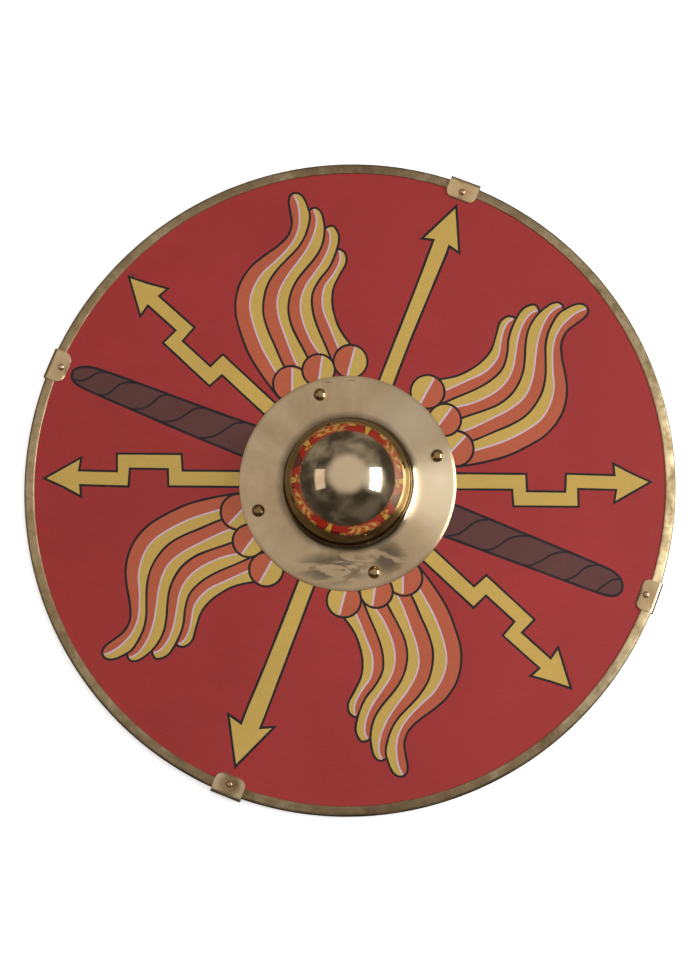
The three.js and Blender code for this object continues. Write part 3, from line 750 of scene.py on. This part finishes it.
def binding(number):
    start = CLIPS[number][0]
    end = CLIPS[(number + 1) % 4][0]
    end = end if end > start else end + 360
    joint = math.degrees(BINDING_JOINT_GAP / 2 / RIM_HALF_WIDTH)
    start, end = start + joint, end - joint
    lip = -BINDING_LIP
    bend = BINDING_BEND
    outer = [(lip, BINDING_BACK), *arc(-bend, BINDING_BACK + bend, bend, bend, -90, 0, 6)]
    outer += [(0.22, 5.6), (0.38, 7.2), (0.34, 8.6), (0.16, 9.6)]
    top = arc(-bend, BINDING_FRONT - bend - 0.1, bend, bend, 0, 84, 7)
    face = [(-3.9, BINDING_FRONT - 0.02), (-5.4, BINDING_FRONT + 0.12), (-7.0, BINDING_FRONT + 0.26),
            (-9.2, BINDING_FRONT + 0.40), (-9.75, BINDING_FRONT + 0.30), (-10.1, BINDING_FRONT + 0.02),
            (lip, BINDING_FRONT - 0.5), (lip, BOARD_FRONT)]
    inner = [(-3, BOARD_FRONT), *arc(-bend, BINDING_FRONT - bend, 2, 2, 90, 0, 3),
             *arc(-bend, BINDING_BACK + bend, 2, 2, 0, -90, 3), (lip, BOARD_BACK)]
    profile = outer + top + face + inner
    first = len(outer)
    wavy = range(first, first + 15)
    uneven = range(first + 12, first + 16)
    steps = 150
    verts, faces = [], []
    for i in range(steps + 1):
        degrees = start + (end - start) * i / steps
        radius = rim_radius(degrees)
        a = math.radians(degrees)
        for k, (r, z) in enumerate(profile):
            x, y = (radius + r) * math.cos(a), (radius + r) * math.sin(a)
            if k in wavy:
                z += 0.16 * waver(x, y, 2.0, 11) + 0.10 * waver(x, y, 4.0, 4)
            if k in uneven:
                grow = 0.28 * waver(x, y, 5.0, 30)
                x, y = x + grow * math.cos(a), y + grow * math.sin(a)
            verts.append((x, y, z))
    n = len(profile)
    for i in range(steps):
        for k in range(n):
            m = (k + 1) % n
            faces.append([i * n + k, (i + 1) * n + k, (i + 1) * n + m, i * n + m])
    faces.append(list(range(n)))
    faces.append([steps * n + k for k in range(n)][::-1])
    piece("binding_%d" % (number + 1), verts, faces, [BINDING_BRASS],
          ["edge_binding_%d" % (number + 1)], angle=50)


def clip_rivet_place(number):
    degrees, looseness = CLIPS[number]
    radius = rim_radius(degrees) + looseness + CLIP_SHEET - CLIP_RIVET_INSET
    return radius * math.cos(math.radians(degrees)), radius * math.sin(math.radians(degrees))


def clip(number):
    degrees, looseness = CLIPS[number]
    turn = math.radians(degrees)
    outer = rim_radius(degrees) + looseness + CLIP_SHEET
    end = rim_radius(degrees) - BINDING_LIP - CLIP_OVERLAP
    bend = BINDING_BEND + CLIP_SHEET
    path = [(end, BOARD_FRONT + 0.62), (end + 0.5, BOARD_FRONT + 0.9)]
    length = outer - bend - end
    for i in range(1, 15):
        t = i / 14
        rise = min(1, (t * length) / (CLIP_END_RUN * 2.2))
        swell = 0.5 * math.sin(math.pi * min(1, t * 1.02)) ** 0.8
        z = BOARD_FRONT + 0.62 + (CLIP_FRONT - BOARD_FRONT - 1.2) * (1 - (1 - rise) ** 2)
        path.append((end + t * length, min(z + swell + 0.58 * t, CLIP_FRONT + 0.3)))
    front = len(path)
    path += arc(outer - bend, CLIP_FRONT - bend, bend, bend, 90, 0, 7)
    path += arc(outer - bend, bend, bend, bend, 0, -90, 7)
    fold_end = len(path) - 1
    path += [(end + length * t, 0) for t in (0.75, 0.5, 0.25, 0.1)]
    path.append((end, 1.0))
    steps = 20
    half = CLIP_WIDTH / 2
    grid = []
    for k, (x, z) in enumerate(path):
        depth = x - end
        if depth < CLIP_CORNER:
            width = half - CLIP_CORNER + math.sqrt(max(0, CLIP_CORNER ** 2 - (CLIP_CORNER - depth) ** 2))
        else:
            width = half
        row = []
        for i in range(steps + 1):
            s = -1 + 2 * i / steps
            y = width * math.sin(s * math.pi / 2 * 0.999)
            away = math.hypot((x - outer + CLIP_RIVET_INSET) / 9, y / 11)
            dish = 1.15 * math.exp(-(away * 1.35) ** 2) if k < front else 0.0
            lift = 0.55 * min(1, abs(y) / half) ** 3 * max(0, 1 - k / (front + 3)) if z > 5 else 0.0
            hammered = 0.30 * waver(x + number * 40, y, 3.0, 7) if k < front else 0.0
            row.append((x, y, z - dish + lift + hammered))
        grid.append(row)
    outside = [[Vector(p) for p in row] for row in grid]
    under = []
    for k, row in enumerate(outside):
        before, after = outside[max(0, k - 1)], outside[min(len(outside) - 1, k + 1)]
        new = []
        for i, p in enumerate(row):
            along = after[i] - before[i]
            side = row[min(steps, i + 1)] - row[max(0, i - 1)]
            normal = along.cross(side).normalized()
            if k < front and normal.z < 0 or k > fold_end and normal.z > 0:
                normal.negate()
            elif front <= k <= fold_end and normal.x < 0:
                normal.negate()
            new.append(p - normal * (CLIP_SHEET * 0.92))
        under.append(new)
    verts = [p for row in outside for p in row] + [p for row in under for p in row]
    w = steps + 1
    count = len(outside) * w
    faces = []
    for k in range(len(outside) - 1):
        for i in range(steps):
            a, b, c, d = k * w + i, k * w + i + 1, (k + 1) * w + i + 1, (k + 1) * w + i
            faces += [[a, b, c, d], [count + d, count + c, count + b, count + a]]
    border = list(range(w)) + [k * w + steps for k in range(1, len(outside))]
    border += [(len(outside) - 1) * w + i for i in range(steps - 1, -1, -1)]
    border += [k * w for k in range(len(outside) - 2, 0, -1)]
    for a, b in zip(border, border[1:] + border[:1]):
        faces.append([b, a, count + a, count + b])
    cos, sin = math.cos(turn), math.sin(turn)
    placed = [(v.x * cos - v.y * sin, v.x * sin + v.y * cos, v.z) for v in verts]
    rivet = clip_rivet_place(number)
    gleam, tarnish, shade = CLIP_LOOKS[number]
    bright = srgb(250 * gleam, 226 * gleam, 180 * gleam)
    dull = srgb(236 * gleam, 206 * gleam, 158 * gleam)
    sheet = brass("clip_brass_%d" % (number + 1), bright, dull, srgb(150, 116, 76), 0.22, tarnish,
                  dished=(rivet[0] * MM, rivet[1] * MM, 0), shade=shade, grit=0.02, shade_below_edge=CLIP_FRONT)
    piece("clip_%d" % (number + 1), placed, faces, [sheet],
          ["edge_clip_%d" % (number + 1)], angle=55)


def clip_rivet(number):
    x, y = clip_rivet_place(number)
    low = CLIP_FRONT - 0.6
    head = [(3.1, 0.5), (2.96, 1.0), (2.6, 1.45), (2.0, 1.78), (1.2, 1.98), (0.5, 2.05), (0, 2.06)]
    profile = [(0, 0), (1.4, 0), (1.5, 0.1), (1.5, low), (2.9, low), (3.1, low + 0.2)]
    profile += [(r, CLIP_FRONT + z) for r, z in head]
    verts, faces = lathe(profile, 28, x, y)
    piece("clip_rivet_%d" % (number + 1), verts, faces, [CLIP_RIVET_BRASS],
          ["edge_clip_rivet_%d" % (number + 1)], angle=60)


# The boss and its rivets

def boss():
    x, y = BOSS_CENTRE
    widest = FLANGE_FRONT + DOME_FILLET
    foot = DOME_RADIUS + DOME_FILLET
    inner = DOME_RADIUS - BOSS_SHEET
    profile = arc(0, widest, inner, DOME_RISE - BOSS_SHEET, 90, 0, 30)
    profile += arc(foot, widest, DOME_FILLET + BOSS_SHEET, DOME_FILLET + BOSS_SHEET, 180, 270, 8)
    profile += [(foot + 20, BOARD_FRONT), (FLANGE_RADIUS - 0.3, BOARD_FRONT),
                (FLANGE_RADIUS, BOARD_FRONT + 0.2)]
    band = FLANGE_RADIUS - FLANGE_EDGE_WIDTH
    profile += [(FLANGE_RADIUS, FLANGE_FRONT - FLANGE_EDGE_DROP - 0.1),
                (FLANGE_RADIUS - 0.2, FLANGE_FRONT - 0.45), (FLANGE_RADIUS - 0.6, FLANGE_FRONT - 0.3),
                (band + 0.3, FLANGE_FRONT - 0.14), (band, FLANGE_FRONT - 0.02),
                (band - 0.6, FLANGE_FRONT + 0.02)]
    profile += [(band - (band - foot - 8) * t / 8, FLANGE_FRONT) for t in range(1, 8)]
    sweep = DOME_FILLET - 0.5
    start = DOME_RADIUS + sweep * (1 - math.sin(math.radians(28)))
    rise = DOME_FILLET - sweep * math.cos(math.radians(28))
    profile += [(start + step, FLANGE_FRONT + rise * math.exp(-step * 0.53 / rise))
                for step in (10, 7, 5, 3.5, 2.2, 1)]
    profile += arc(DOME_RADIUS + sweep, widest, sweep, sweep, 242, 180, 12)
    profile += arc(0, widest, DOME_RADIUS, DOME_RISE, 0, 90, 48)[1:]
    verts, faces = lathe(profile, 200)
    placed = []
    for vx, vy, vz in verts:
        r = math.hypot(vx, vy)
        share = 0
        if vz > FLANGE_FRONT - 0.05:
            share = max(0, min(1, (r - DOME_RADIUS) / 4, (FLANGE_RADIUS - 6 - r) / 26))
        placed.append((x + vx + DOME_FOOT_LEAN.x * share, y + vy + DOME_FOOT_LEAN.y * share, vz))
    piece("boss_shell", placed, faces, [BOSS_BRASS], ["boss"], angle=35)


def boss_rivet(number):
    a = math.radians(BOSS_RIVET_ANGLES[number])
    x = BOSS_CENTRE[0] + BOSS_RIVET_CIRCLE * math.cos(a)
    y = BOSS_CENTRE[1] + BOSS_RIVET_CIRCLE * math.sin(a)
    tail = BOARD_BACK - 1.3
    profile = [(0, tail), (3.4, tail), (4.5, tail + 0.35), (5, BOARD_BACK - 0.4), (5, BOARD_BACK),
               (2.4, BOARD_BACK), (2.4, FLANGE_FRONT - 0.1), (6.1, FLANGE_FRONT - 0.1),
               *arc(0, FLANGE_FRONT + 0.35, 6.4, 4.25, 0, 90, 12)]
    verts, faces = lathe(profile, 40, x, y)
    piece("boss_rivet_head_%d" % (number + 1), verts, faces, [RIVET_BRASS],
          ["boss_rivet_%d" % (number + 1)], angle=60)


# The hand grip and its nails

def grip():
    hole_edge = math.sqrt(HAND_HOLE_RADIUS ** 2 - (GRIP_WIDTH / 2) ** 2) - FIT_GAP
    stations = [GRIP_HALF_LENGTH, GRIP_HALF_LENGTH - 0.8]
    stations += [hole_edge + 0.2 + (GRIP_HALF_LENGTH - 1 - hole_edge) * t / 6 for t in range(5, -1, -1)]
    stations += [hole_edge - GRIP_SHOULDER_RUN * t / 14 for t in range(1, 15)]
    stations += [(hole_edge - GRIP_SHOULDER_RUN) * t / 8 for t in range(7, 0, -1)]
    stations += [0] + [-s for s in stations[::-1]]
    half = GRIP_WIDTH / 2
    verts, faces, rings = [], [], []
    for i, s in enumerate(stations):
        along = min(1, max(0, (hole_edge - abs(s)) / GRIP_SHOULDER_RUN))
        climb = (1 - math.cos(along * math.pi)) / 2
        top = POCKET_FLOOR + climb * (GRIP_TOP - POCKET_FLOOR)
        ease = 0.8 if i in (0, len(stations) - 1) else 0.0
        wide = half - ease - 0.5 * climb * (1 - abs(s) / hole_edge)
        back = GRIP_BACK + ease
        round_top = min(GRIP_TOP_ROUND, 0.7 + climb * GRIP_TOP_ROUND)
        round_back = GRIP_BACK_ROUND + 1.6 * climb
        ring = [*arc(-wide + round_back, back + round_back, round_back, round_back, 180, 270, 5),
                *arc(wide - round_back, back + round_back, round_back, round_back, 270, 360, 5),
                *arc(wide - round_top, top - round_top, round_top, round_top, 0, 90, 7),
                *arc(-wide + round_top, top - round_top, round_top, round_top, 90, 180, 7)]
        rings.append(range(len(verts), len(verts) + len(ring)))
        for y, z in ring:
            wave = 0.15 * waver(s, y * 2, z * 0.1, 18) * climb
            verts.append((BOSS_CENTRE[0] + s, BOSS_CENTRE[1] + y + wave, z + (wave if z > 8 else 0)))
    for a, b in zip(rings, rings[1:]):
        n = len(a)
        for i in range(n):
            j = (i + 1) % n
            faces.append([a[i], b[i], b[j], a[j]])
    faces.append(list(rings[0]))
    faces.append(list(rings[-1])[::-1])
    piece("grip_bar", verts, faces, [GRIP_ASH], ["hand_grip"], angle=45)


def nail(number):
    along, solid = NAILS[number]
    low = GRIP_BACK - 0.8
    profile = [(0, low), (2.6, low + 0.04), (3.6, low + 0.2), (4, low + 0.55), (4, GRIP_BACK),
               (1.5, GRIP_BACK), (1.5, 7.2), (0, 10.2)]
    verts, faces = lathe(profile, 24, BOSS_CENTRE[0] + along, BOSS_CENTRE[1])
    piece("grip_nail_head_%d" % (number + 1), verts, faces, [IRON],
          ["grip_nail_%d" % solid], angle=50)


board()
for index in range(4):
    binding(index)
    clip(index)
    clip_rivet(index)
    boss_rivet(index)
    nail(index)
boss()
grip()


# The floor, the lights and the camera

def floor():
    reach = 25
    mesh = bpy.data.meshes.new("floor")
    mesh.from_pydata([(-reach, -reach, 0), (reach, -reach, 0), (reach, reach, 0), (-reach, reach, 0)],
                     [], [(0, 1, 2, 3)])
    n = Nodes("pale_floor")
    tone = n.mix(n.range(n.noise(3, 2), 0.3, 0.7), (0.94, 0.94, 0.95, 1), (0.95, 0.95, 0.96, 1))
    mesh.materials.append(n.set(Base_Color=tone, Roughness=0.9, Emission_Color=(1, 1, 1, 1),
                                Emission_Strength=0.45))
    obj = add_object("floor", mesh)
    obj.visible_glossy = False


def direction(tilt, lean):
    """The way up from the shield, tilted to the picture's right and leaning to its top, in degrees."""
    right, up = math.tan(math.radians(tilt)), math.tan(math.radians(lean))
    return (PICTURE_RIGHT * right + PICTURE_UP * up + Vector((0, 0, 1))).normalized()


def face(obj, back):
    """Turn a light or the camera to look against a direction, with the picture's top upwards."""
    side = PICTURE_UP.cross(back).normalized()
    obj.rotation_euler = Matrix((side, back.cross(side), back)).transposed().to_euler()


def light(name, tilt, lean, distance, size_x, size_y, radiance, colour, reflected=True):
    """A soft box above the shield."""
    data = bpy.data.lights.new(name, "AREA")
    data.shape = "RECTANGLE"
    data.size, data.size_y = size_x, size_y
    data.energy = radiance * math.pi * size_x * size_y
    data.color = colour
    obj = add_object(name, data)
    back = direction(tilt, lean)
    obj.location = FACE_LEVEL + back * distance
    face(obj, back)
    obj.visible_camera = False
    obj.visible_glossy = reflected


def studio():
    """Three soft boxes, and a dim, cloudy room with a pale card overhead and a glow beside it."""
    light("right_box", 56, -2, 2.0, 0.74, 1.36, 8.4, (1.0, 0.99, 0.98))
    light("left_box", -54, -2.5, 2.0, 0.72, 1.2, 0.56, (1.0, 0.87, 0.80))
    light("overhead_fill", 2, 5, 2.6, 2.4, 2.4, 2.05, (1.0, 0.99, 0.98), False)
    world = bpy.data.worlds.new("studio_room")
    bpy.context.scene.world = world
    world.use_nodes = True
    sky = Tree(world.node_tree)
    coords = sky.add("ShaderNodeTexCoord").outputs["Generated"]

    def fade(value, low, high, to_low=0.0, to_high=1.0):
        return sky.range(value, low, high, to_low, to_high, interpolation_type="SMOOTHSTEP")

    def patch(middle, outside, inside):
        """A soft round patch, from its angle outside to the smaller one inside, in degrees."""
        return fade(sky.dot(coords, middle), math.cos(math.radians(outside)), math.cos(math.radians(inside)))

    clouds = fade(sky.noise(1.8, 2.0, 0.5, 0.3, coords), 0.36, 0.74, 0.10, 1.0)
    upwards = fade(sky.dot(coords, PICTURE_UP), -0.9, 0.7, 0.25, 0.72)
    room = sky.mix(sky.times(clouds, upwards), (0.028, 0.024, 0.020, 1), (0.36, 0.33, 0.29, 1))
    room = sky.mix(patch(direction(0, 7), 46, 27), room, (0.515, 0.468, 0.43, 1))
    room = sky.mix(patch(direction(52, 0), 30, 8), room, (0.54, 0.54, 0.52, 1))
    seen = sky.add("ShaderNodeLightPath").outputs["Is Camera Ray"]
    room = sky.mix(seen, room, (0.80, 0.79, 0.77, 1))
    background = sky.tree.nodes["Background"]
    sky.plug(room, background.inputs["Color"])
    sky.plug(1.0, background.inputs["Strength"])


def camera():
    data = bpy.data.cameras.new("camera")
    data.sensor_fit = "VERTICAL"
    data.sensor_height = 36
    data.lens = 81.1
    data.clip_end = 100
    obj = add_object("camera", data)
    obj.location = Vector((112.2, -244.9, 2194.7)) * MM
    aim = Vector((2.33, -5.09, 12.2)) * MM
    face(obj, (obj.location - aim).normalized())
    bpy.context.scene.camera = obj


floor()
studio()
camera()
bpy.context.scene.view_settings.view_transform = "Standard"
bpy.context.scene.view_settings.look = "None"
